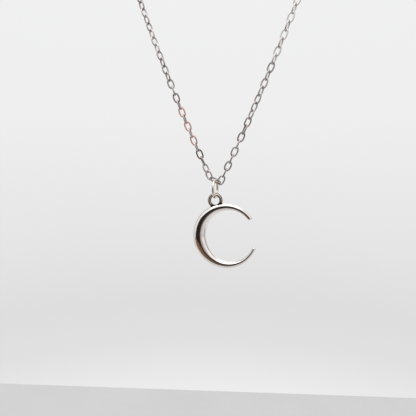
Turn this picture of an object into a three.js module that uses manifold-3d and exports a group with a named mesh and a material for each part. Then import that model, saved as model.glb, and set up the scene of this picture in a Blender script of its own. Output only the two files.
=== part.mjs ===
// A pendant necklace: a polished crescent with a cast loop, hung by a jump ring from a fine cable
// chain that closes behind the neck with a lobster clasp. It hangs as a flat loop from two points.
// Millimetres, +Z up, -Y towards the viewer, the origin midway between the two hanging points.
import * as THREE from "three";
import { mergeVertices } from "three/addons/utils/BufferGeometryUtils.js";
import Module from "manifold-3d";

// Cable chain. Each link is an oval of round wire, hooked into the next at about a quarter turn.
const necklaceLength = 450;
const linkLength = 3.02;
const linkWidth = 1.95;
const linkWire = 0.42;
const linkPlay = 0.04; // gap between two hooked wires
const linkSquareness = 2.4; // exponent of the link's outline; 2 is an ellipse
const linksPerSide = 20; // separate links on each front strand; plain chain follows above them

// Each front strand follows a catenary, from near its lowest point up to the hanging point.
const strandScale = 89; // the catenary's scale, its tension over its weight
const strandOffset = 182; // arc from the catenary's own lowest point to the foot of the strand
const strandTop = 162; // arc from the foot of the strand to the hanging point

// How the quarter-turned links drift round the chain: degrees at link numbers, even in between.
const leftTwist = [[1, 75], [4, 0], [12, 0], [15, 45], [25, 60]];
const rightTwist = [[1, 78], [6, 75], [14, 12], [25, 12]];

// The one larger link at the foot, which joins both strands and carries the jump ring.
const bottomLength = 3.55;
const bottomWidth = 2.35;
const bottomTilt = 25; // degrees below level, towards +X
const bottomRoll = 70; // degrees that it is turned about its own length
const ringAlongBottomLink = 0.45; // where the jump ring sits, past the link's middle

const ringDiameter = 5.5; // outside
const ringWire = 0.7;
const ringPlay = 0.03;

// Crescent. Its width and thickness are greatest at one place and taper to two tips.
const crescentDiameter = 18.4;
const crescentWidth = 3.65;
const upperTipWidth = 1.3;
const lowerTipWidth = 0.9;
const crescentThickness = 2.3;
const tipThickness = 0.9;
const upperTaper = 1.15; // how fast each horn thins, as a power
const lowerTaper = 1.35;
const upperTipAngle = 33; // degrees anticlockwise from +X
const lowerTipAngle = -18;
const flatBack = 0.85; // how far its flat back lies behind the jump ring's middle
const tipRounding = 0.5;

// The loop that is cast on the crescent's rim.
const bailHole = 2.4;
const bailWire = 0.9;
const bailLean = 15.9; // degrees to the left of the vertical through the crescent's centre
const bailSink = 0.15; // how far the rim reaches into the round hole

// Lobster clasp, its rivet, lever and spring, and the rings on each side of it.
const claspLength = 10;
const claspWidth = 5.2;
const claspThickness = 2.4;
const claspMouth = { x: 1.2, halfLength: 2.75, halfWidth: 1.4 };
const mouthGap = { from: -0.6, to: 2.5, floor: 0.3 };
const eyeHole = 1.5;
const eyeWall = 0.45;
const eyeThickness = 1;
const ringSlack = 0.1; // of a ring in the eye or the mouth
const leverThickness = 0.9;
const leverPlay = 0.1; // on each side, in its slot
const leverEye = 0.8; // radius of the lever round its rivet
const leverTip = { x: 2.85, z: 0.92, half: 0.25 };
const leverTab = { lean: 0.3, top: 3.1, half: 0.35 };
const pivot = { x: -1.5, z: 0.75 };
const rivetRadius = 0.36;
const rivetPlay = 0.05;
const rivetHead = { radius: 0.6, height: 0.18 };
const springRadius = 0.36;
const springWire = 0.12;
const claspRing = { diameter: 3.6, wire: 0.55 };
const endRing = { diameter: 5, wire: 0.6 };

const rodGap = 0.1; // between a length of plain chain and the piece that it meets
const bendGap = 0.3; // between two lengths that bend against each other
const hangClear = 1.5; // plain chain stops this far short of the middle of a hanging joint

const wasm = await Module();
wasm.setup();

const radians = THREE.MathUtils.degToRad;
const pitch = linkLength - 2 * linkWire - linkPlay;
const hookReach = (linkWire + linkPlay) / 2; // from where two links meet to the middle of each wire
const bottomPitch = bottomLength - 2 * linkWire - linkPlay;
const crescentRadius = crescentDiameter / 2;
const ringRadius = (ringDiameter - ringWire) / 2;
const bailRadius = (bailHole + bailWire) / 2;

const silver = new THREE.MeshStandardMaterial({ color: 0xd9d6d2, metalness: 1, roughness: 0.12 });
const darkSilver = new THREE.MeshStandardMaterial({ color: 0x8d8380, metalness: 1, roughness: 0.3 });

// Place and direction on a front strand, at an arc length from its foot; side is -1 or 1.
function strandAt(arc, side) {
  const reach = arc + strandOffset;
  const across = strandScale * (Math.asinh(reach / strandScale) - Math.asinh(strandOffset / strandScale));
  const height = Math.hypot(strandScale, reach) - Math.hypot(strandScale, strandOffset);
  const angle = Math.atan2(reach, strandScale);
  return {
    point: new THREE.Vector3(side * across, 0, height - strandHeight()),
    along: new THREE.Vector3(side * Math.cos(angle), 0, Math.sin(angle)),
  };
}

function strandHeight() {
  return Math.hypot(strandScale, strandTop + strandOffset) - Math.hypot(strandScale, strandOffset);
}

// The arcs at which the left and right strands hook into the tilted bottom link.
function strandFeet() {
  const lean = Math.atan2(strandScale, strandOffset);
  const wireSpan = bottomLength - linkWire;
  const across = wireSpan * Math.cos(radians(bottomTilt)) - 2 * hookReach * Math.sin(lean);
  const mean = across / (2 * Math.sin(lean));
  const uneven = (wireSpan * Math.sin(radians(bottomTilt))) / (2 * Math.cos(lean));
  return { left: mean + uneven, right: mean - uneven };
}

// Scale of the catenary that hangs with this half arc between points this far to each side.
function catenaryScale(halfSpan, halfArc) {
  let low = 0.05;
  let high = 6;
  for (let i = 0; i < 60; i += 1) {
    const middle = (low + high) / 2;
    if (Math.sinh(middle) / middle < halfArc / halfSpan) {
      low = middle;
    } else {
      high = middle;
    }
  }
  return halfSpan / low;
}

const feet = strandFeet();
const hangX = strandAt(strandTop, 1).point.x; // where each front strand leaves its hanging link
const backHalfSpan = hangX - pitch;
const backHalfArc = (necklaceLength - 2 * strandTop + feet.left + feet.right - bottomPitch - 2 * pitch) / 2;
const backScale = catenaryScale(backHalfSpan, backHalfArc);

// Place on the back chain, at an arc length from its middle, positive towards +X.
function backAt(arc) {
  const height = Math.hypot(backScale, arc) - Math.hypot(backScale, backHalfArc);
  return new THREE.Vector3(backScale * Math.asinh(arc / backScale), 0, height);
}

function vertexMap(geometry, place) {
  const position = geometry.getAttribute("position");
  const point = new THREE.Vector3();
  for (let i = 0; i < position.count; i += 1) {
    point.fromBufferAttribute(position, i);
    place(point);
    position.setXYZ(i, point.x, point.y, point.z);
  }
  return geometry;
}

function closedMesh(geometry) {
  const bare = geometry.clone();
  bare.deleteAttribute("normal");
  bare.deleteAttribute("uv");
  return mergeVertices(bare, 1e-4);
}

function toSolid(geometry) {
  const merged = closedMesh(geometry);
  return new wasm.Manifold(
    new wasm.Mesh({
      numProp: 3,
      vertProperties: new Float32Array(merged.getAttribute("position").array),
      triVerts: new Uint32Array(merged.index.array),
    }),
  );
}

function toGeometry(solid) {
  const mesh = solid.getMesh();
  const geometry = new THREE.BufferGeometry();
  geometry.setAttribute("position", new THREE.BufferAttribute(mesh.vertProperties, 3));
  geometry.setIndex(new THREE.BufferAttribute(mesh.triVerts, 1));
  geometry.computeVertexNormals();
  return geometry;
}

function named(name, geometry, material) {
  const mesh = new THREE.Mesh(geometry, material);
  mesh.name = name;
  return mesh;
}

// A closed oval of round wire in the XY plane, its length along X: a torus with its middle line moved
// on to a superellipse.
function ovalGeometry(length, width, wire, squareness, around, alongTube) {
  const halfLength = (length - wire) / 2;
  const halfWidth = (width - wire) / 2;
  const power = 2 / squareness;
  const middleLine = (angle) =>
    new THREE.Vector3(
      halfLength * Math.sign(Math.cos(angle)) * Math.abs(Math.cos(angle)) ** power,
      halfWidth * Math.sign(Math.sin(angle)) * Math.abs(Math.sin(angle)) ** power,
      0,
    );
  const torus = new THREE.TorusGeometry(halfLength, wire / 2, around, alongTube);
  return vertexMap(torus, (point) => {
    const angle = Math.atan2(point.y, point.x);
    const outward = Math.hypot(point.x, point.y) - halfLength;
    const step = middleLine(angle + 0.05).sub(middleLine(angle - 0.05));
    const normal = new THREE.Vector3(step.y, -step.x, 0).normalize();
    const depth = point.z;
    point.copy(middleLine(angle)).addScaledVector(normal, outward);
    point.z = depth;
  });
}

// Turns a flat oval so that its length runs along the chain, rolled about it from face-on.
function placeLink(mesh, centre, along, roll) {
  const inPlane = new THREE.Vector3(-along.z, 0, along.x);
  const forward = new THREE.Vector3(0, -1, 0);
  const across = inPlane.clone().multiplyScalar(Math.cos(radians(roll)));
  across.addScaledVector(forward, Math.sin(radians(roll)));
  const facing = new THREE.Vector3().crossVectors(along, across);
  mesh.quaternion.setFromRotationMatrix(new THREE.Matrix4().makeBasis(along, across, facing));
  mesh.position.copy(centre);
  return mesh;
}

const linkGeometry = ovalGeometry(linkLength, linkWidth, linkWire, linkSquareness, 6, 12);

function rollOf(index, twist) {
  const next = twist.findIndex(([number]) => number > index);
  const [from, start] = twist[next - 1];
  const [to, end] = twist[next];
  return 90 * index + start + ((end - start) * (index - from)) / (to - from);
}

// The separate links of one front strand, counted up from the bottom link.
function strandLinks(side, foot, twist, prefix) {
  const links = new THREE.Group();
  for (let index = 1; index <= linksPerSide; index += 1) {
    const { point, along } = strandAt(foot + (index - 0.5) * pitch, side);
    const name = `${prefix}_link_${String(index).padStart(2, "0")}`;
    const roll = -side * rollOf(index, twist);
    links.add(placeLink(named(name, linkGeometry, darkSilver), point, along, roll));
  }
  return links;
}

// Plain chain as a rod that holds the same metal per millimetre as the links do.
function chainRod(name, pointAt, from, to) {
  const straight = linkLength - linkWidth;
  const wireRun = Math.PI * (linkWidth - linkWire) + 2 * straight;
  const rodRadius = (linkWire / 2) * Math.sqrt(wireRun / pitch);
  const steps = Math.max(6, Math.round((to - from) / 5));
  const points = [];
  for (let i = 0; i <= steps; i += 1) {
    points.push(pointAt(from + ((to - from) * i) / steps));
  }
  const section = new THREE.Shape();
  section.absarc(0, 0, rodRadius, 0, 2 * Math.PI);
  const geometry = new THREE.ExtrudeGeometry(section, {
    curveSegments: 8,
    steps,
    extrudePath: new THREE.CatmullRomCurve3(points),
  });
  return named(name, geometry, darkSilver);
}

// The rest of a front strand, above its separate links, in two lengths that meet half-way up.
function strandRods(side, foot, prefix) {
  const rods = new THREE.Group();
  const pointAt = (arc) => strandAt(arc, side).point;
  const linksEnd = foot + linksPerSide * pitch + (linkLength - pitch) / 2;
  const middle = (linksEnd + strandTop) / 2;
  rods.add(chainRod(`${prefix}_chain_lower`, pointAt, linksEnd + rodGap, middle - bendGap / 2));
  rods.add(chainRod(`${prefix}_chain_upper`, pointAt, middle + bendGap / 2, strandTop - hangClear));
  return rods;
}

function hangingLink(side, name) {
  const centre = new THREE.Vector3(side * (hangX - pitch / 2), 0, 0);
  return placeLink(named(name, linkGeometry, darkSilver), centre, new THREE.Vector3(1, 0, 0), 0);
}

// The larger link at the foot and the middle of the wire on which the jump ring hangs.
function bottomLinkFrame() {
  const foot = { left: strandAt(feet.left, -1), right: strandAt(feet.right, 1) };
  const left = foot.left.point.addScaledVector(foot.left.along, hookReach);
  const right = foot.right.point.addScaledVector(foot.right.along, hookReach);
  const centre = left.clone().add(right).multiplyScalar(0.5);
  const along = right.clone().sub(left).normalize();
  const inPlane = new THREE.Vector3(along.z, 0, -along.x);
  const halfLength = (bottomLength - linkWire) / 2;
  const halfWidth = (bottomWidth - linkWire) / 2;
  const share = 1 - (ringAlongBottomLink / halfLength) ** linkSquareness;
  const sideways = halfWidth * share ** (1 / linkSquareness);
  const seat = centre.clone().addScaledVector(along, ringAlongBottomLink);
  seat.addScaledVector(inPlane, sideways * Math.cos(radians(bottomRoll)));
  seat.y -= sideways * Math.sin(radians(bottomRoll));
  return { centre, along, seat };
}

function bottomLink() {
  const { centre, along } = bottomLinkFrame();
  const geometry = ovalGeometry(bottomLength, bottomWidth, linkWire, linkSquareness, 6, 16);
  return placeLink(named("bottom_link", geometry, darkSilver), centre, along, 180 - bottomRoll);
}

function ringCentre() {
  const drop = ringRadius - ringWire / 2 - linkWire / 2 - ringPlay;
  return bottomLinkFrame().seat.clone().add(new THREE.Vector3(0, 0, -drop));
}

function jumpRing() {
  const geometry = new THREE.TorusGeometry(ringRadius, ringWire / 2, 8, 24);
  const ring = named("jump_ring", geometry, silver);
  ring.position.copy(ringCentre());
  ring.rotation.y = Math.PI / 2;
  return ring;
}

// Shares of the crescent's fullest size at an angle round it, and the width of the tip on that side.
function crescentAt(angle) {
  const fullest = 180 + (upperTipAngle + lowerTipAngle) / 2;
  const off = radians(angle - fullest);
  const fullness = ((1 + Math.cos(off)) / 2) ** (off < 0 ? upperTaper : lowerTaper);
  const sweepShare = (angle - upperTipAngle) / (360 + lowerTipAngle - upperTipAngle);
  const tipWidth = upperTipWidth + (lowerTipWidth - upperTipWidth) * sweepShare;
  return {
    width: tipWidth + (crescentWidth - tipWidth) * fullness,
    thickness: tipThickness + (crescentThickness - tipThickness) * fullness,
  };
}

// The crescent in the XZ plane round its own centre: a domed section with a flat back, bent round.
function crescentBand() {
  const sweep = 360 + lowerTipAngle - upperTipAngle;
  const section = new THREE.Shape();
  section.moveTo(0.08, 0);
  section.lineTo(0.92, 0);
  section.quadraticCurveTo(1, 0, 1, 0.14);
  section.bezierCurveTo(1, 0.62, 0.78, 1, 0.5, 1);
  section.bezierCurveTo(0.22, 1, 0, 0.62, 0, 0.14);
  section.quadraticCurveTo(0, 0, 0.08, 0);
  const steps = 44;
  const band = new THREE.ExtrudeGeometry(section, { curveSegments: 4, steps, depth: 1, bevelEnabled: false });
  return vertexMap(band, (point) => {
    const angle = upperTipAngle + point.z * sweep;
    const { width, thickness } = crescentAt(angle);
    const tipDistance = radians(Math.min(point.z, 1 - point.z) * sweep) * crescentRadius;
    const inset = Math.max(0, 1 - tipDistance / tipRounding);
    const shrink = Math.sqrt(1 - 0.8 * inset * inset);
    const across = 0.5 + (point.x - 0.5) * shrink;
    const radius = crescentRadius - across * width;
    const depth = point.y * thickness * shrink;
    point.set(radius * Math.cos(radians(angle)), -depth, radius * Math.sin(radians(angle)));
  });
}

// The crescent and its cast loop, hung so that the loop's wire rests on the jump ring's.
function crescentPendant() {
  const lean = radians(90 + bailLean);
  const bailDistance = crescentRadius - bailSink + bailHole / 2;
  const bail = new THREE.TorusGeometry(bailRadius, bailWire / 2, 10, 28);
  bail.rotateX(Math.PI / 2);
  bail.translate(bailDistance * Math.cos(lean), -flatBack, bailDistance * Math.sin(lean));
  const solid = toSolid(crescentBand()).add(toSolid(bail));
  const pendant = named("crescent_pendant", toGeometry(solid), silver);
  const ring = ringCentre();
  const bailDrop = ringRadius - ringWire / 2 - bailWire / 2 - ringPlay + bailRadius;
  pendant.position.set(
    ring.x - bailDistance * Math.cos(lean),
    ring.y + flatBack,
    ring.z - bailDrop - bailDistance * Math.sin(lean),
  );
  return pendant;
}

// A flat plate in the XZ plane, centred on it, from an outline whose y becomes Z.
function plate(outline, thickness) {
  const geometry = new THREE.ExtrudeGeometry(outline, {
    curveSegments: 10,
    depth: thickness,
    bevelEnabled: false,
  });
  geometry.translate(0, 0, -thickness / 2);
  return geometry.rotateX(Math.PI / 2);
}

function block(x1, x2, thickness, z1, z2) {
  const geometry = new THREE.BoxGeometry(x2 - x1, thickness, z2 - z1);
  return toSolid(geometry.translate((x1 + x2) / 2, 0, (z1 + z2) / 2));
}

// What is cut from one side of the clasp to leave its eye thinner.
function eyeRelief(side) {
  const length = eyeWall + eyeHole + ringSlack;
  const relief = block(-claspLength / 2, -claspLength / 2 + length, claspThickness, -claspTop, claspTop);
  return relief.translate([0, (side * (claspThickness + eyeThickness)) / 2, 0]);
}

function pin(radius, length, x, z) {
  const geometry = new THREE.CylinderGeometry(radius, radius, length, 16);
  return toSolid(geometry.translate(x, 0, z));
}

const claspTop = claspWidth / 2 + 0.5; // above the clasp's back, for cuts that run out of it
const eyeX = -claspLength / 2 + eyeWall + eyeHole / 2;

function claspBody() {
  const outline = new THREE.Shape();
  outline.absellipse(0, 0, claspLength / 2, claspWidth / 2, 0, 2 * Math.PI);
  const mouth = new THREE.Path();
  mouth.absellipse(claspMouth.x, 0, claspMouth.halfLength, claspMouth.halfWidth, 0, 2 * Math.PI);
  outline.holes.push(mouth);
  const slotWidth = leverThickness + 2 * leverPlay;
  const slotBack = pivot.x - leverEye - 2 * leverPlay;
  const springFloor = pivot.z - leverEye - 2 * springRadius - 3 * leverPlay;
  const solid = toSolid(plate(outline, claspThickness))
    .subtract(block(mouthGap.from, mouthGap.to, 2 * claspThickness, mouthGap.floor, claspTop))
    .subtract(block(slotBack, claspMouth.x, slotWidth, springFloor, claspTop))
    .subtract(pin(rivetRadius + rivetPlay, 2 * claspThickness, pivot.x, pivot.z))
    .subtract(pin(eyeHole / 2, 2 * claspThickness, eyeX, 0))
    .subtract(eyeRelief(-1))
    .subtract(eyeRelief(1));
  return named("clasp_body", toGeometry(solid), silver);
}

function claspLever() {
  const outline = new THREE.Shape();
  outline.moveTo(pivot.x, pivot.z - leverEye);
  outline.lineTo(leverTip.x, leverTip.z - leverTip.half);
  outline.lineTo(leverTip.x, leverTip.z + leverTip.half);
  outline.lineTo(pivot.x + leverEye, pivot.z + leverEye / 2);
  outline.lineTo(pivot.x - leverTab.lean + leverTab.half, leverTab.top);
  outline.lineTo(pivot.x - leverTab.lean - leverTab.half, leverTab.top);
  outline.lineTo(pivot.x - leverEye, pivot.z);
  outline.absarc(pivot.x, pivot.z, leverEye, Math.PI, 1.5 * Math.PI, false);
  const bore = pin(rivetRadius + rivetPlay, 2 * leverThickness, pivot.x, pivot.z);
  const solid = toSolid(plate(outline, leverThickness)).subtract(bore);
  return named("clasp_lever", toGeometry(solid), silver);
}

function claspRivet() {
  const headFace = claspThickness / 2 + rivetPlay;
  const headTop = headFace + rivetHead.height;
  const profile = [
    new THREE.Vector2(0, -headTop),
    new THREE.Vector2(rivetHead.radius * 0.7, -headTop),
    new THREE.Vector2(rivetHead.radius, -headFace),
    new THREE.Vector2(rivetRadius, -headFace),
    new THREE.Vector2(rivetRadius, headFace),
    new THREE.Vector2(rivetHead.radius, headFace),
    new THREE.Vector2(rivetHead.radius * 0.7, headTop),
    new THREE.Vector2(0, headTop),
  ];
  const geometry = new THREE.LatheGeometry(profile, 16);
  geometry.translate(pivot.x, 0, pivot.z);
  return named("clasp_rivet", geometry, silver);
}

// A small bow of spring wire under the lever, which pushes it shut.
function claspSpring() {
  const centreX = pivot.x - leverEye / 2;
  const centreZ = pivot.z - leverEye - springRadius - leverPlay;
  const outline = new THREE.Shape();
  outline.absarc(centreX, centreZ, springRadius, radians(-60), radians(120), false);
  outline.absarc(centreX, centreZ, springRadius - springWire, radians(120), radians(-60), true);
  return named("clasp_spring", plate(outline, leverThickness - 2 * leverPlay), silver);
}

function flatRing(name, size, x, z) {
  const geometry = new THREE.TorusGeometry((size.diameter - size.wire) / 2, size.wire / 2, 8, 20);
  const ring = named(name, geometry, silver);
  ring.position.set(x, 0, z);
  return ring;
}

// How far a ring's middle lies from the wall that it hooks round, whose corners it touches first.
function ringReach(size, wallThickness) {
  const inside = size.diameter / 2 - size.wire;
  return Math.sqrt(inside ** 2 - (wallThickness / 2) ** 2) - ringSlack;
}

const claspRingX = -claspLength / 2 + eyeWall - ringReach(claspRing, eyeThickness);
const endRingX = claspMouth.x + claspMouth.halfLength + ringReach(endRing, claspThickness);

// The clasp and its two rings, level at the middle of the back chain.
function claspGroup() {
  const group = new THREE.Group();
  group.add(claspBody(), claspLever(), claspRivet(), claspSpring());
  group.add(flatRing("clasp_ring", claspRing, claspRingX, 0));
  group.add(flatRing("end_ring", endRing, endRingX, -endRing.wire / 2));
  group.position.z = backAt(0).z;
  return group;
}

function backRods() {
  const rods = new THREE.Group();
  const leftEnd = claspRingX - claspRing.diameter / 2 - rodGap;
  const rightEnd = endRingX + endRing.diameter / 2 + rodGap;
  rods.add(chainRod("back_chain_left", backAt, hangClear - backHalfArc, leftEnd));
  rods.add(chainRod("back_chain_right", backAt, rightEnd, backHalfArc - hangClear));
  return rods;
}

const necklace = new THREE.Group();
necklace.add(hangingLink(-1, "left_hang_link"), hangingLink(1, "right_hang_link"));
necklace.add(strandRods(-1, feet.left, "left"), strandRods(1, feet.right, "right"));
necklace.add(strandLinks(-1, feet.left, leftTwist, "left"), strandLinks(1, feet.right, rightTwist, "right"));
necklace.add(bottomLink(), jumpRing(), crescentPendant());
necklace.add(backRods(), claspGroup());

export default necklace;
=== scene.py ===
import math

import bmesh
import bpy
from mathutils import Matrix, Vector


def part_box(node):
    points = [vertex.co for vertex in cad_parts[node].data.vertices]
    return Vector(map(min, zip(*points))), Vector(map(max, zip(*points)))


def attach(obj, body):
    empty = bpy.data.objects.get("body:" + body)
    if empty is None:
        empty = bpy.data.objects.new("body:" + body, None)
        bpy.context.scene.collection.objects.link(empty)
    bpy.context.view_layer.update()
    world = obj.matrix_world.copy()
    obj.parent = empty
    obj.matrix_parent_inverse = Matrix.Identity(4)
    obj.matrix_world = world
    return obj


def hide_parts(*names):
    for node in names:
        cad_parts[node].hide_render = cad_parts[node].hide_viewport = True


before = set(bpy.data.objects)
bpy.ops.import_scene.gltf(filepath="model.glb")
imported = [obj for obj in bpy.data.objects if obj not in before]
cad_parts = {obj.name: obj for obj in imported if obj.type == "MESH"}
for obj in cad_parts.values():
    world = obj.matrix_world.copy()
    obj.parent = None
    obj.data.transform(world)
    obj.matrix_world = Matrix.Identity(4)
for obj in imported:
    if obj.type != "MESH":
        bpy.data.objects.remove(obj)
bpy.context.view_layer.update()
mm = 0.001
scene = bpy.context.scene
scene.view_settings.view_transform = "Standard"


# node trees: one class for a socket's maths, one for adding nodes

class Wire:
    def __init__(self, net, socket):
        self.net, self.socket = net, socket

    def maths(self, operation, *others):
        values = dict(enumerate((self,) + others))
        return self.net.add("ShaderNodeMath", {"operation": operation}, values)

    def __add__(self, other): return self.maths("ADD", other)
    def __sub__(self, other): return self.maths("SUBTRACT", other)
    def __mul__(self, other): return self.maths("MULTIPLY", other)
    def __truediv__(self, other): return self.maths("DIVIDE", other)
    def __pow__(self, other): return self.maths("POWER", other)
    def __neg__(self): return self.maths("MULTIPLY", -1)
    def __rsub__(self, other): return (-self) + other
    def __rtruediv__(self, other): return (self ** -1) * other
    def __abs__(self): return self.maths("ABSOLUTE")
    __radd__, __rmul__ = __add__, __mul__

    def pick(self, name):
        return Wire(self.net, self.socket.node.outputs[name])


class Net:
    def __init__(self, tree):
        self.tree = tree
        tree.nodes.clear()

    def add(self, kind, settings=None, values=None, output=0):
        node = self.tree.nodes.new(kind)
        for name, value in (settings or {}).items():
            if name == "stops":     # of a colour ramp
                ramp = node.color_ramp
                while len(ramp.elements) < len(value):
                    ramp.elements.new(0.5)
                for element, (place, colour) in zip(ramp.elements, value):
                    element.position = place
                    element.color = tuple(colour) + (1,)
            else:
                setattr(node, name, value)
        for name, value in (values or {}).items():
            if isinstance(value, Wire):
                self.tree.links.new(value.socket, node.inputs[name])
            else:
                node.inputs[name].default_value = value
        return Wire(self, node.outputs[output]) if len(node.outputs) else node


def geometryTree(name, inputs):
    # a Geometry Nodes tree with a mesh in and out and these named inputs
    tree = bpy.data.node_groups.new(name, "GeometryNodeTree")
    face = tree.interface
    face.new_socket("Mesh", in_out="INPUT", socket_type="NodeSocketGeometry")
    face.new_socket("Mesh", in_out="OUTPUT", socket_type="NodeSocketGeometry")
    for label, kind in inputs.items():
        face.new_socket(label, in_out="INPUT", socket_type="NodeSocket" + kind)
    net = Net(tree)
    return net, net.add("NodeGroupInput")


def placeInScene(name, data):
    thing = bpy.data.objects.new(name, data)
    scene.collection.objects.link(thing)
    return thing


def evaluatedMesh(holder):
    # the holder's mesh as its modifiers leave it, with the modifiers taken off
    ready = holder.evaluated_get(bpy.context.evaluated_depsgraph_get())
    made = bpy.data.meshes.new_from_object(ready)
    holder.modifiers.clear()
    return made


def runTree(name, net, mesh, values):
    # lays the tree on a mesh, sets its inputs and keeps the result as a plain mesh
    holder = placeInScene(name, mesh)
    modifier = holder.modifiers.new("nodes", "NODES")
    modifier.node_group = net.tree
    for item in net.tree.interface.items_tree:
        if item.in_out == "INPUT" and item.name in values:
            modifier[item.identifier] = values[item.name]
    holder.data = evaluatedMesh(holder)
    holder.data.name = name
    return holder


def finishPiece(piece, body, replaced):
    piece.data.shade_smooth()
    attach(piece, body)
    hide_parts(*replaced)


# camera: a little to the right of the pendant's front, close to it

cameraPlace = {"aim": Vector((0, 0, -152.73)) * mm, "distance": 105 * mm, "azimuth": 14.7, "elevation": 2.9,
               "aimRight": -2.26 * mm, "aimUp": -4.79 * mm, "roll": -0.27, "lens": 32.6}


def makeCamera(place):
    turn, rise = math.radians(place["azimuth"]), math.radians(place["elevation"])
    back = Vector((math.sin(turn) * math.cos(rise), -math.cos(turn) * math.cos(rise), math.sin(rise)))
    right = Vector((math.cos(turn), math.sin(turn), 0))
    up = back.cross(right)
    target = place["aim"] + right * place["aimRight"] + up * place["aimUp"]
    data = bpy.data.cameras.new("camera")
    data.lens, data.sensor_width = place["lens"], 36
    data.clip_start, data.clip_end = 0.005, 10
    camera = placeInScene("camera", data)
    camera.location = place["aim"] + back * place["distance"]
    look = (target - camera.location).to_track_quat("-Z", "Y").to_matrix()
    look = look @ Matrix.Rotation(math.radians(-place["roll"]), 3, "Z")
    camera.rotation_mode = "QUATERNION"
    camera.rotation_quaternion = look.to_quaternion()
    scene.camera = camera


makeCamera(cameraPlace)
print("camera made")


# the chain's route: the same catenaries as the CAD solids, in millimetres

chain = {"necklace": 450, "linkLength": 3.02, "linkWidth": 1.95, "wire": 0.42, "play": 0.04,
         "squareness": 2.4, "separateLinks": 20, "scale": 89, "offset": 182, "top": 162,
         "leftTwist": [(1, 75), (4, 0), (12, 0), (15, 45), (25, 60), (75, 90)],
         "rightTwist": [(1, 78), (6, 75), (14, 12), (25, 12), (76, 0)]}
bottom = {"length": 3.55, "width": 2.35, "tilt": 25, "roll": 70, "tone": 0.75}
hanging = {"tone": 0.4}

pitch = chain["linkLength"] - 2 * chain["wire"] - chain["play"]
hookReach = (chain["wire"] + chain["play"]) / 2
strandHeight = (math.hypot(chain["scale"], chain["top"] + chain["offset"])
                - math.hypot(chain["scale"], chain["offset"]))


def strandAt(arc, side):
    # place and upward direction on a front strand, at an arc length from its foot
    scale, reach = chain["scale"], arc + chain["offset"]
    across = scale * (math.asinh(reach / scale) - math.asinh(chain["offset"] / scale))
    height = math.hypot(scale, reach) - math.hypot(scale, chain["offset"]) - strandHeight
    angle = math.atan2(reach, scale)
    return Vector((side * across, 0, height)), Vector((side * math.cos(angle), 0, math.sin(angle)))


def strandFeet():
    # arcs at which the two strands hook into the tilted bottom link
    lean, tilt = math.atan2(chain["scale"], chain["offset"]), math.radians(bottom["tilt"])
    wireSpan = bottom["length"] - chain["wire"]
    mean = (wireSpan * math.cos(tilt) - 2 * hookReach * math.sin(lean)) / (2 * math.sin(lean))
    uneven = wireSpan * math.sin(tilt) / (2 * math.cos(lean))
    return mean + uneven, mean - uneven


leftFoot, rightFoot = strandFeet()
hangX = strandAt(chain["top"], 1)[0].x


def backCatenary():
    # scale and half arc of the chain behind the neck
    bottomPitch = bottom["length"] - 2 * chain["wire"] - chain["play"]
    halfSpan = hangX - pitch
    halfArc = (chain["necklace"] - 2 * chain["top"] + leftFoot + rightFoot - bottomPitch - 2 * pitch) / 2
    low, high = 0.05, 6.0
    for _ in range(60):
        middle = (low + high) / 2
        if math.sinh(middle) / middle < halfArc / halfSpan:
            low = middle
        else:
            high = middle
    return halfSpan / low, halfArc


backScale, backHalfArc = backCatenary()


def backAt(arc):
    # place and direction towards +X on the back chain, at an arc length from its middle
    angle = math.atan2(arc, backScale)
    height = math.hypot(backScale, arc) - math.hypot(backScale, backHalfArc)
    place = Vector((backScale * math.asinh(arc / backScale), 0, height))
    return place, Vector((math.cos(angle), 0, math.sin(angle)))


def rollOf(number, twist):
    # a quarter turn more at each link, with a slow drift that the table gives
    for (start, first), (end, last) in zip(twist, twist[1:]):
        if start <= number < end:
            return 90 * number + first + (last - first) * (number - start) / (end - start)


# links: one tree that lays an oval of round wire on each marked point

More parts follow.
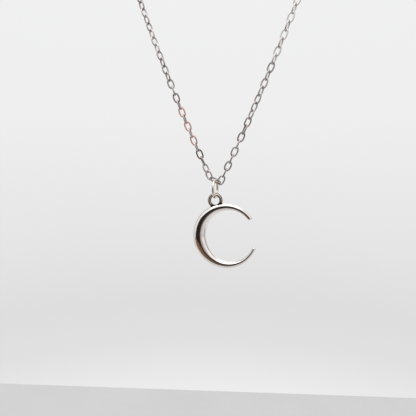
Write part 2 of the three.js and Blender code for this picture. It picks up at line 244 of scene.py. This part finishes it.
def linkTree():
    net, given = geometryTree("links", {
        "Half length": "Float", "Half width": "Float", "Wire radius": "Float", "Squareness": "Float",
        "Steps round": "Int", "Steps across": "Int", "Unevenness": "Float", "Material": "Material"})
    take = given.pick
    circle = net.add("GeometryNodeCurvePrimitiveCircle", None,
                     {"Resolution": take("Steps round"), "Radius": 1.0})
    place = net.add("GeometryNodeInputPosition")
    split = net.add("ShaderNodeSeparateXYZ", None, {0: place})
    power = 2 / take("Squareness")

    def squared(part, size):
        return part.maths("SIGN") * (abs(part) ** power) * size
    oval = net.add("ShaderNodeCombineXYZ", None, {
        "X": squared(split.pick("X"), take("Half length")),
        "Z": squared(split.pick("Y"), take("Half width"))})
    bent = net.add("GeometryNodeSetPosition", None, {"Geometry": circle, "Position": oval})
    section = net.add("GeometryNodeCurvePrimitiveCircle", None,
                      {"Resolution": take("Steps across"), "Radius": take("Wire radius")})
    link = net.add("GeometryNodeCurveToMesh", None, {"Curve": bent, "Profile Curve": section})
    along = net.add("GeometryNodeInputNamedAttribute", {"data_type": "FLOAT_VECTOR"}, {"Name": "along"})
    roll = net.add("GeometryNodeInputNamedAttribute", {"data_type": "FLOAT"}, {"Name": "roll"})
    aimed = net.add("FunctionNodeAlignRotationToVector", {"axis": "X", "pivot_axis": "Y"}, {"Vector": along})
    rolled = net.add("FunctionNodeAxisAngleToRotation", None, {"Axis": (1, 0, 0), "Angle": roll})
    turn = net.add("FunctionNodeRotateRotation", {"rotation_space": "LOCAL"},
                   {"Rotation": aimed, "Rotate By": rolled})
    size = net.add("FunctionNodeRandomValue", {"data_type": "FLOAT"},
                   {"Min": 1 - take("Unevenness"), "Max": 1.0, "Seed": 3}, output=1)
    points = net.add("GeometryNodeMeshToPoints", None, {"Mesh": given})
    copies = net.add("GeometryNodeInstanceOnPoints", None, {
        "Points": points, "Instance": link, "Rotation": turn, "Scale": size})
    plain = net.add("GeometryNodeRealizeInstances", None, {"Geometry": copies})
    smooth = net.add("GeometryNodeSetShadeSmooth", None, {"Geometry": plain})
    finish = net.add("GeometryNodeSetMaterial", None, {"Geometry": smooth, "Material": take("Material")})
    net.add("NodeGroupOutput", None, {"Mesh": finish})
    return net


def markPoints(mesh, name, amounts):
    mark = mesh.attributes.new(name, "FLOAT", "POINT")
    mark.data.foreach_set("value", amounts)


def pointMesh(name, places):
    # one vertex for each link, marked with its direction, its roll and its own shade of metal
    mesh = bpy.data.meshes.new(name)
    mesh.from_pydata([tuple(point * mm) for point, _, _, _ in places], [], [])
    along = mesh.attributes.new("along", "FLOAT_VECTOR", "POINT")
    along.data.foreach_set("vector", [x for _, direction, _, _ in places for x in direction])
    markPoints(mesh, "roll", [math.radians(angle) for _, _, angle, _ in places])
    markPoints(mesh, "shade", [tone for _, _, _, tone in places])
    return mesh


oddTones = {(-1, 4): 0.84, (-1, 6): 1.0, (-1, 8): 1.0, (-1, 10): 1.0, (-1, 12): 0.75}


def toneOf(number, side):
    # each link has tarnished its own way: 0 is bright, 0.84 black and 1 a reddish copper
    wave = math.sin(number * 12.9898 + side * 4.1) * 43758.5453
    lowestTone = 0.0 if side > 0 and number > 16 else 0.2       # the right strand's upper links start lighter
    return oddTones.get((side, number), lowestTone + 0.45 * (wave - math.floor(wave)))


def strandStretches(side):
    # the first link, the count and the two end arcs of a strand's separate links and its two upper stretches
    foot = leftFoot if side < 0 else rightFoot
    base = foot + chain["separateLinks"] * pitch
    middle = (base + (chain["linkLength"] - pitch) / 2 + chain["top"]) / 2
    lower, upper = round((middle - base) / pitch), round((chain["top"] - middle) / pitch)
    return [(1, chain["separateLinks"], foot, base), (chain["separateLinks"] + 1, lower, base, middle),
            (chain["separateLinks"] + lower + 1, upper, middle, chain["top"])]


def strandPlaces(side, stretch, groupStart=0, groupSize=None):
    # the links of a stretch share its length out evenly, so that they hook together at its pivots
    first, count, start, end = strandStretches(side)[stretch]
    places = []
    for i in range(groupStart, groupStart + (groupSize or count)):
        point, direction = strandAt(start + (i + 0.5) * (end - start) / count, side)
        roll = -side * rollOf(first + i, chain["leftTwist"] if side < 0 else chain["rightTwist"])
        places.append((point, direction, roll, toneOf(first + i, side)))
    return places


linkNet = linkTree()
fineLink = {"Half length": (chain["linkLength"] - chain["wire"]) / 2 * mm,
            "Half width": (chain["linkWidth"] - chain["wire"]) / 2 * mm,
            "Wire radius": chain["wire"] / 2 * mm, "Squareness": chain["squareness"],
            "Steps round": 28, "Steps across": 10, "Unevenness": 0.012}
plainLink = dict(fineLink, **{"Steps round": 14, "Steps across": 6})


# materials

def newMaterial(name):
    material = bpy.data.materials.new(name)
    material.use_nodes = True
    return material, Net(material.node_tree)


def metalMaterial(name, look):
    # polished or tarnished silver: cloudy roughness, fine scratches, and, where marked, dark oxide mixed with
    # painted shade
    material, net = newMaterial(name)
    coords = net.add("ShaderNodeTexCoord", None, None, "Object")
    cloud = net.add("ShaderNodeTexNoise", None, {
        "Vector": coords, "Scale": look["cloudScale"], "Detail": 4.0})
    grainPlace = net.add("ShaderNodeMapping", None, {"Vector": coords, "Scale": look["grainStretch"]})
    grain = net.add("ShaderNodeTexNoise", None, {
        "Vector": grainPlace, "Scale": look["grainScale"], "Detail": 3.0})
    tone = cloud * look["cloudShare"]
    if look.get("perLink"):
        shade = net.add("ShaderNodeAttribute", {"attribute_name": "shade"}, None, "Fac")
        tone = tone + shade * look["perLink"]
    colour = net.add("ShaderNodeValToRGB", {"stops": look["colours"]}, {"Fac": tone})
    if look.get("oxide"):
        mark = net.add("ShaderNodeAttribute", {"attribute_name": "oxide"}, None, "Fac")
        # the dark mark mixes oxide with painted shade
        dark = (mark * 1.5 + cloud * 0.4 - 0.45).maths("MINIMUM", 1).maths("MAXIMUM", 0)
        colour = net.add("ShaderNodeMix", {"data_type": "RGBA"}, {
            "Factor": dark, 6: colour, 7: look["oxide"] + (1,)}, 2)
        rough = look["roughness"] + (grain * look["roughSpread"]) + dark * 0.35
    else:
        rough = grain * look["roughSpread"] + look["roughness"]
    bump = net.add("ShaderNodeBump", None, {"Strength": look["bump"], "Distance": 0.00002, "Height": grain})
    shader = net.add("ShaderNodeBsdfPrincipled", None, {
        "Base Color": colour, "Metallic": 1.0, "Roughness": rough, "Normal": bump})
    net.add("ShaderNodeOutputMaterial", None, {"Surface": shader})
    return material


chainLook = {"cloudScale": 900.0, "cloudShare": 0.12, "perLink": 0.94, "grainScale": 4000.0,
             "grainStretch": (1, 1, 1), "roughness": 0.14, "roughSpread": 0.12, "bump": 0.08,
             "colours": [(0.0, (0.74, 0.70, 0.69)), (0.35, (0.52, 0.47, 0.46)), (0.7, (0.30, 0.26, 0.25)),
                         (0.84, (0.10, 0.09, 0.09)), (0.95, (0.62, 0.36, 0.29))]}
silverLook = {"cloudScale": 300.0, "cloudShare": 1.0, "grainScale": 5000.0, "grainStretch": (1, 1, 0.15),
              "roughness": 0.045, "roughSpread": 0.03, "bump": 0.01,
              "colours": [(0.3, (0.86, 0.82, 0.79)), (0.7, (0.93, 0.89, 0.86))]}
ringLook = dict(silverLook, roughness=0.08, colours=[(0.3, (0.66, 0.61, 0.54)), (0.7, (0.80, 0.76, 0.69))])
# the bail's dark colour stands for oxide and painted shade
bailLook = dict(silverLook, roughness=0.16, grainStretch=(1, 1, 1), oxide=(0.025, 0.02, 0.018),
                colours=[(0.3, (0.60, 0.54, 0.45)), (0.7, (0.80, 0.74, 0.64))])

chainSilver = metalMaterial("tarnishedChainSilver", chainLook)
polishedSilver = metalMaterial("polishedSilver", silverLook)
ringSilver = metalMaterial("ringSilver", ringLook)
bailSilver = metalMaterial("oxideAndShadeBailSilver", bailLook)
print("materials made")


# the chain, stretch by stretch

def layLinks(name, places, sizes):
    return runTree(name, linkNet, pointMesh(name, places), dict(sizes, Material=chainSilver))


def chainCord(name, body, places, node):
    # a stretch of free chain; its centreline runs from link to link, out to both end links' tips
    piece = layLinks(name, places, plainLink)
    finishPiece(piece, body, [node])
    tip = chain["linkLength"] / 2
    heading = 1 if (places[-1][0] - places[0][0]).dot(places[0][1]) > 0 else -1
    path = [places[0][0] - places[0][1] * tip * heading] + [place[0] for place in places]
    path.append(places[-1][0] + places[-1][1] * tip * heading)
    length = sum((b - a).length for a, b in zip(path, path[1:]))
    path[0] * mm
    [tuple(point * mm) for point in path]


for side, prefix in ((-1, "left"), (1, "right")):
    chainCord(prefix + "_chain_lower_links", "lower_front", strandPlaces(side, 1), prefix + "_chain_lower")
    chainCord(prefix + "_chain_upper_links", "upper_front", strandPlaces(side, 2), prefix + "_chain_upper")

linksInGroup = 4
for first in range(1, chain["separateLinks"], linksInGroup):
    body = f"links_{first:02d}_to_{first + linksInGroup - 1:02d}"
    places = [place for side in (-1, 1) for place in strandPlaces(side, 0, first - 1, linksInGroup)]
    numbers = range(first, first + linksInGroup)
    nodes = [f"{prefix}_link_{number:02d}" for prefix in ("left", "right") for number in numbers]
    finishPiece(layLinks(body + "_pair", places, fineLink), body, nodes)

hangPlaces = [(Vector((side * (hangX - pitch / 2), 0, 0)), Vector((1, 0, 0)), 0, hanging["tone"])
              for side in (-1, 1)]
finishPiece(layLinks("hanging_links", hangPlaces, fineLink), "hang_links",
            ["left_hang_link", "right_hang_link"])
print("chain made")


# the larger bottom link

def bottomFrame():
    left, leftUp = strandAt(leftFoot, -1)
    right, rightUp = strandAt(rightFoot, 1)
    left, right = left + leftUp * hookReach, right + rightUp * hookReach
    return (left + right) / 2, (right - left).normalized()


bottomCentre, bottomAlong = bottomFrame()
bottomSizes = dict(fineLink, **{"Half length": (bottom["length"] - chain["wire"]) / 2 * mm,
                                "Half width": (bottom["width"] - chain["wire"]) / 2 * mm, "Unevenness": 0.0})
bottomPlace = (bottomCentre, bottomAlong, 180 - bottom["roll"], bottom["tone"])
finishPiece(layLinks("larger_link", [bottomPlace], bottomSizes), "links_01_to_04",
            ["bottom_link"])


# back chain and clasp: how far the chain reaches into each ring, and each edge's rounding

clasp = {"claspRingReach": 0.3, "endRingReach": 0.35, "shellRounding": 0.25, "triggerRounding": 0.12,
         "pinRounding": 0.06, "bowRounding": 0.02}


def backPlaces(start, end):
    count = round(abs(end - start) / pitch)
    step = (end - start) / count
    places = []
    for i in range(count):
        point, direction = backAt(start + (i + 0.5) * step)
        places.append((point, direction, 90 * i + 30, toneOf(i, start)))
    return places


def ringSpan(node):
    low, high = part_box(node)
    return low.x / mm, high.x / mm


backLeftEnd = ringSpan("clasp_ring")[0] + clasp["claspRingReach"]
backRightEnd = ringSpan("end_ring")[1] - clasp["endRingReach"]
chainCord("back_chain_left_links", "back_chain", backPlaces(-backHalfArc, backLeftEnd), "back_chain_left")
chainCord("back_chain_right_links", "back_chain", backPlaces(backHalfArc, backRightEnd), "back_chain_right")


def softenedCopy(node, body, name, bevel):
    # a CAD node's mesh, welded and with its edges rounded as cast metal's are
    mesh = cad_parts[node].data.copy()
    work = bmesh.new()
    work.from_mesh(mesh)
    bmesh.ops.remove_doubles(work, verts=work.verts, dist=1e-6)
    bmesh.ops.dissolve_limit(work, angle_limit=math.radians(2), verts=work.verts, edges=work.edges)
    work.to_mesh(mesh)
    work.free()
    piece = placeInScene(name, mesh)
    mesh.materials.clear()
    mesh.materials.append(ringSilver)
    rounding = piece.modifiers.new("rounding", "BEVEL")
    rounding.width, rounding.segments, rounding.limit_method = bevel, 3, "ANGLE"
    rounding.angle_limit = math.radians(35)
    piece.data = evaluatedMesh(piece)
    finishPiece(piece, body, [node])


softenedCopy("clasp_body", "back_chain", "clasp_shell", clasp["shellRounding"] * mm)
softenedCopy("clasp_lever", "clasp_lever", "clasp_trigger", clasp["triggerRounding"] * mm)
softenedCopy("clasp_rivet", "back_chain", "clasp_pin", clasp["pinRounding"] * mm)
softenedCopy("clasp_spring", "back_chain", "clasp_bow", clasp["bowRounding"] * mm)


# rings of round wire; the cut is an angle in radians, and cutTurn is where it lies in the jump ring

rings = {"jumpWire": 0.67, "claspWire": 0.55, "endWire": 0.6, "cut": 0.02, "cutTurn": 115}


def ringTree():
    net, given = geometryTree("wire ring", {
        "Ring radius": "Float", "Wire radius": "Float", "Opening": "Float", "Material": "Material"})
    take = given.pick
    arc = net.add("GeometryNodeCurveArc", None, {
        "Resolution": 97, "Radius": take("Ring radius"), "Start Angle": take("Opening") / 2,
        "Sweep Angle": 2 * math.pi - take("Opening")})
    section = net.add("GeometryNodeCurvePrimitiveCircle", None, {
        "Resolution": 20, "Radius": take("Wire radius")})
    wire = net.add("GeometryNodeCurveToMesh", None, {
        "Curve": arc, "Profile Curve": section, "Fill Caps": True})
    smooth = net.add("GeometryNodeSetShadeSmooth", None, {"Geometry": wire})
    finish = net.add("GeometryNodeSetMaterial", None, {"Geometry": smooth, "Material": take("Material")})
    net.add("NodeGroupOutput", None, {"Mesh": finish})
    return net


ringNet = ringTree()


def wireRing(name, node, body, wire, turn):
    # a ring with a hairline cut that fills its node's box; turn carries it from the XY plane
    low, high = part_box(node)
    diameter = max(high - low)
    empty = bpy.data.meshes.new(name)
    piece = runTree(name, ringNet, empty, {"Ring radius": (diameter - wire) / 2, "Wire radius": wire / 2,
                                           "Opening": rings["cut"], "Material": ringSilver})
    piece.data.transform(Matrix.Translation((low + high) / 2) @ turn)
    finishPiece(piece, body, [node])


level = Matrix.Identity(4)
edgeOn = Matrix.Rotation(math.pi / 2, 4, "Y") @ Matrix.Rotation(math.radians(rings["cutTurn"]), 4, "Z")
wireRing("round_jump_ring", "jump_ring", "jump_ring", rings["jumpWire"] * mm, edgeOn)
wireRing("clasp_loop", "clasp_ring", "back_chain", rings["claspWire"] * mm, level)
wireRing("end_loop", "end_ring", "back_chain", rings["endWire"] * mm, level)
print("rings and clasp made")


# crescent: a domed section with a flat back, swept round and tapered to two tips

crescent = {"diameter": 18.4, "width": 3.65, "upperTip": 1.3, "lowerTip": 0.9, "thickness": 2.3,
            "tipThickness": 0.9, "upperTaper": 1.15, "lowerTaper": 1.35, "upperAngle": 33,
            "lowerAngle": -18, "rounding": 0.5, "dome": 2.15, "shoulder": 2.3, "backRise": 0.06,
            "stepsAlong": 241, "stepsRound": 65}
# darkHeight and the painted front light set where oxide and painted shade darken the cast loop
bail = {"hole": 2.4, "wire": 0.9, "lean": 15.9, "sink": 0.15, "behind": 0.85, "darkHeight": 0.9,
        "paintedFrontLight": 1.2, "paintedFrontLightPower": 3}


# its centre, from the CAD node's box, where the crescent has the lowest, the leftmost and the rearmost point
pendantLow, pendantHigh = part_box("crescent_pendant")
crescentRadius = crescent["diameter"] / 2 * mm
crescentCentre = Vector((pendantLow.x + crescentRadius, pendantHigh.y, pendantLow.z + crescentRadius))


def crescentTree():
    names = {"Radius": "Float", "Width": "Float", "Upper tip": "Float", "Lower tip": "Float",
             "Thickness": "Float", "Tip thickness": "Float", "Upper taper": "Float",
             "Lower taper": "Float", "Upper angle": "Float", "Sweep": "Float", "Rounding": "Float",
             "Dome": "Float", "Shoulder": "Float",
             "Back rise": "Float", "Centre": "Vector", "Material": "Material"}
    net, given = geometryTree("crescent", names)
    take = given.pick
    grid = net.add("GeometryNodeMeshGrid", None, {
        "Size X": 1.0, "Size Y": 1.0, "Vertices X": crescent["stepsAlong"],
        "Vertices Y": crescent["stepsRound"]})
    place = net.add("ShaderNodeSeparateXYZ", None, {0: net.add("GeometryNodeInputPosition")})
    share = place + 0.5                                     # 0 at the upper tip, 1 at the lower one
    about = (place.pick("Y") + 0.5) * (2 * math.pi)         # round the section
    angle = take("Upper angle") + share * take("Sweep")
    lowerHalf = share.maths("GREATER_THAN", 0.5)
    taper = take("Upper taper") + (take("Lower taper") - take("Upper taper")) * lowerHalf
    fullness = (((share - 0.5) * take("Sweep")).maths("COSINE") * 0.5 + 0.5) ** taper
    tip = take("Upper tip") + (take("Lower tip") - take("Upper tip")) * share
    width = tip + (take("Width") - tip) * fullness
    depth = take("Tip thickness") + (take("Thickness") - take("Tip thickness")) * fullness
    nearest = share.maths("MINIMUM", 1 - share) * take("Sweep") * take("Radius")
    inset = (1 - nearest / take("Rounding")).maths("MAXIMUM", 0)
    shrink = (1 - inset * inset).maths("MAXIMUM", 0).maths("SQRT")
    cosine, sine = about.maths("COSINE"), about.maths("SINE")
    across = 0.5 + cosine.maths("SIGN") * (abs(cosine) ** (2 / take("Shoulder"))) * shrink * 0.5
    front = sine.maths("MAXIMUM", 0) ** (2 / take("Dome"))
    rear = sine.maths("MINIMUM", 0) * take("Back rise")
    lift = (front * (1 - take("Back rise")) + rear + take("Back rise")) * shrink
    radius = take("Radius") - across * width
    middle = net.add("ShaderNodeSeparateXYZ", None, {0: take("Centre")})
    spot = net.add("ShaderNodeCombineXYZ", None, {
        "X": middle.pick("X") + radius * angle.maths("COSINE"),
        "Y": middle.pick("Y") - lift * depth,
        "Z": middle.pick("Z") + radius * angle.maths("SINE")})
    moved = net.add("GeometryNodeSetPosition", None, {"Geometry": grid, "Position": spot})
    welded = net.add("GeometryNodeMergeByDistance", None, {"Geometry": moved, "Distance": 2e-6})
    smooth = net.add("GeometryNodeSetShadeSmooth", None, {"Geometry": welded})
    finish = net.add("GeometryNodeSetMaterial", None, {"Geometry": smooth, "Material": take("Material")})
    net.add("NodeGroupOutput", None, {"Mesh": finish})
    return net


def makeCrescent():
    c = crescent
    empty = bpy.data.meshes.new("crescent")
    piece = runTree("polished_crescent", crescentTree(), empty, {
        "Radius": c["diameter"] / 2 * mm, "Width": c["width"] * mm, "Upper tip": c["upperTip"] * mm,
        "Lower tip": c["lowerTip"] * mm, "Thickness": c["thickness"] * mm,
        "Tip thickness": c["tipThickness"] * mm, "Upper taper": c["upperTaper"],
        "Lower taper": c["lowerTaper"], "Upper angle": math.radians(c["upperAngle"]),
        "Sweep": math.radians(360 + c["lowerAngle"] - c["upperAngle"]), "Rounding": c["rounding"] * mm,
        "Dome": c["dome"], "Shoulder": c["shoulder"], "Back rise": c["backRise"],
        "Centre": crescentCentre, "Material": polishedSilver})
    work = bmesh.new()
    work.from_mesh(piece.data)
    bmesh.ops.recalc_face_normals(work, faces=work.faces)
    print("crescent open edges:", sum(not e.is_manifold for e in work.edges))
    work.to_mesh(piece.data)
    work.free()
    finishPiece(piece, "crescent", ["crescent_pendant"])


def makeBail():
    # the cast loop, dark with oxide and painted shade where it runs into the rim, and with painted shade
    # wherever its wire doesn't face the front
    lean = math.radians(90 + bail["lean"])
    toHole = crescent["diameter"] / 2 - bail["sink"] + bail["hole"] / 2
    centre = crescentCentre + Vector((toHole * math.cos(lean), -bail["behind"], toHole * math.sin(lean))) * mm
    empty = bpy.data.meshes.new("bail")
    piece = runTree("cast_loop", ringNet, empty, {
        "Ring radius": (bail["hole"] + bail["wire"]) / 2 * mm, "Wire radius": bail["wire"] / 2 * mm,
        "Opening": 0.0, "Material": bailSilver})
    piece.data.transform(Matrix.Translation(centre) @ Matrix.Rotation(math.pi / 2, 4, "X"))
    amounts = []
    for vertex in piece.data.vertices:
        offset = vertex.co - crescentCentre
        height = math.hypot(offset.x, offset.z) - crescentRadius
        root = 1.0 - max(height, 0) / (bail["darkHeight"] * mm)
        facingFront = max(0.0, -vertex.normal.y) ** bail["paintedFrontLightPower"]    # painted shade: only the wire that faces the front is left light
        amounts.append(max(root, 1.0 - bail["paintedFrontLight"] * facingFront, 0.0))
    markPoints(piece.data, "oxide", amounts)
    finishPiece(piece, "crescent", ["crescent_pendant"])


makeCrescent()
makeBail()
print("pendant made")


# floor, surround, studio cards and a lamp

floorPlan = {"halfWidth": 900, "front": -1200, "back": 41, "height": -236.5, "turn": -1.8,
             "tones": [(0.3, (0.50, 0.495, 0.495)), (0.7, (0.52, 0.515, 0.515))]}


def makeFloor(plan):
    # nearly square to the camera, and ending a little behind the pendant
    material, net = newMaterial("paleFloor")
    coords = net.add("ShaderNodeTexCoord", None, None, "Object")
    speck = net.add("ShaderNodeTexNoise", None, {"Vector": coords, "Scale": 40.0})
    colour = net.add("ShaderNodeValToRGB", {"stops": plan["tones"]}, {"Fac": speck})
    shader = net.add("ShaderNodeBsdfPrincipled", None, {"Base Color": colour, "Roughness": 0.7})
    net.add("ShaderNodeOutputMaterial", None, {"Surface": shader})
    side, front, back = plan["halfWidth"], plan["front"], plan["back"]
    corners = [Vector((x, y, 0)) for x, y in ((-side, front), (side, front), (side, back), (-side, back))]
    turn = Matrix.Rotation(math.radians(cameraPlace["azimuth"] + plan["turn"]), 3, "Z")
    drop = Vector((0, 0, plan["height"]))
    mesh = bpy.data.meshes.new("floor")
    mesh.from_pydata([(turn @ corner + drop) * mm for corner in corners], [], [(0, 1, 2, 3)])
    mesh.materials.append(material)
    placeInScene("floor", mesh)


def makeCard(name, given):
    # a studio card turned to the pendant, seen only in the metal; its tones run from right to left
    material, net = newMaterial(name)
    across = net.add("ShaderNodeSeparateXYZ", None, {0: net.add("ShaderNodeUVMap")})
    coords = net.add("ShaderNodeTexCoord", None, None, "Object")
    speck = net.add("ShaderNodeTexNoise", None, {"Vector": coords, "Scale": 15.0})
    colour = net.add("ShaderNodeValToRGB", {"stops": given["stops"]},
                     {"Fac": across + (speck - 0.5) * 0.06})
    shader = net.add("ShaderNodeBsdfPrincipled", None, {"Base Color": colour, "Roughness": 0.9})
    net.add("ShaderNodeOutputMaterial", None, {"Surface": shader})
    turn, rise = math.radians(given["azimuth"]), math.radians(given["elevation"])
    away = Vector((math.sin(turn) * math.cos(rise), -math.cos(turn) * math.cos(rise), math.sin(rise)))
    facing = (-away).to_track_quat("Z", "Y").to_matrix().to_4x4()
    mesh = bpy.data.meshes.new(name)
    width, height = (side / 2 * mm for side in given["size"])
    mesh.from_pydata([(-width, -height, 0), (width, -height, 0), (width, height, 0), (-width, height, 0)],
                     [], [(0, 1, 2, 3)])
    mesh.uv_layers.new(name="spread").data.foreach_set("uv", [0, 0, 1, 0, 1, 1, 0, 1])
    mesh.materials.append(material)
    mesh.transform(Matrix.Translation(pendantMiddle + away * given["distance"] * mm) @ facing)
    card = placeInScene(name, mesh)
    card.visible_camera = card.visible_shadow = card.visible_diffuse = False


def makeWorld():
    # a pale surround, a little darker towards the floor
    world = bpy.data.worlds.new("studio")
    scene.world = world
    world.use_nodes = True
    net = Net(world.node_tree)
    coords = net.add("ShaderNodeTexCoord", None, None, "Generated")
    height = net.add("ShaderNodeSeparateXYZ", None, {0: coords}, "Z") * 0.5 + 0.5
    colour = net.add("ShaderNodeValToRGB", {"stops": [
        (0.0, (0.66, 0.63, 0.61)), (0.235, (0.865, 0.86, 0.86)), (0.26, (0.81, 0.805, 0.805)),
        (0.29, (0.755, 0.75, 0.755)), (0.335, (0.73, 0.728, 0.732)), (0.41, (0.785, 0.782, 0.785)),
        (0.49, (0.825, 0.822, 0.825)), (0.566, (0.86, 0.86, 0.86)), (0.70, (0.872, 0.872, 0.875)),
        (0.8, (1.0, 1.0, 1.0))]}, {"Fac": height})
    back = net.add("ShaderNodeBackground", None, {"Color": colour, "Strength": 1.0})
    net.add("ShaderNodeOutputWorld", None, {"Surface": back})


overheadLamp = {"place": (-0.05, -0.15, 0.35), "width": 0.6, "depth": 0.5, "power": 1.5}     # metres, watts


def makeLamp(given):
    # a soft box above, aimed at the pendant
    data = bpy.data.lights.new("overhead", "AREA")
    data.shape, data.size, data.size_y = "RECTANGLE", given["width"], given["depth"]
    data.energy = given["power"]
    lamp = placeInScene("overhead", data)
    lamp.location = given["place"]
    lamp.rotation_mode = "QUATERNION"
    lamp.rotation_quaternion = (pendantMiddle - lamp.location).to_track_quat("-Z", "Y")


pendantMiddle = (pendantLow + pendantHigh) / 2
makeFloor(floorPlan)
makeWorld()
black = (0.012, 0.010, 0.009)
cards = {
    "darkCard": {"azimuth": -19, "elevation": 0, "distance": 120, "size": (174, 98), "stops": [
        (0.0, (0.20, 0.13, 0.10)), (0.07, black), (0.93, black), (1.0, (0.08, 0.07, 0.07))]},
    "roseCard": {"azimuth": 37, "elevation": 0, "distance": 130, "size": (104, 110), "stops": [
        (0.0, (0.74, 0.70, 0.68)), (0.6, (0.56, 0.47, 0.44)), (1.0, (0.30, 0.20, 0.165))]},
    "brownCard": {"azimuth": -25, "elevation": -28, "distance": 95, "size": (236, 44), "stops": [
        (0.0, (0.42, 0.35, 0.31)), (0.35, (0.12, 0.075, 0.055)), (0.65, (0.24, 0.11, 0.06)),
        (1.0, (0.46, 0.38, 0.28))]},
    "leftFlag": {"azimuth": -128, "elevation": 15, "distance": 260, "size": (90, 420), "stops": [
        (0.0, (0.24, 0.24, 0.24)), (1.0, (0.32, 0.31, 0.31))]},
    "rightFlag": {"azimuth": 122, "elevation": 15, "distance": 260, "size": (90, 420), "stops": [
        (0.0, (0.42, 0.41, 0.41)), (1.0, (0.34, 0.33, 0.33))]}}
for name, card in cards.items():
    makeCard(name, card)
makeLamp(overheadLamp)
print("stage made")
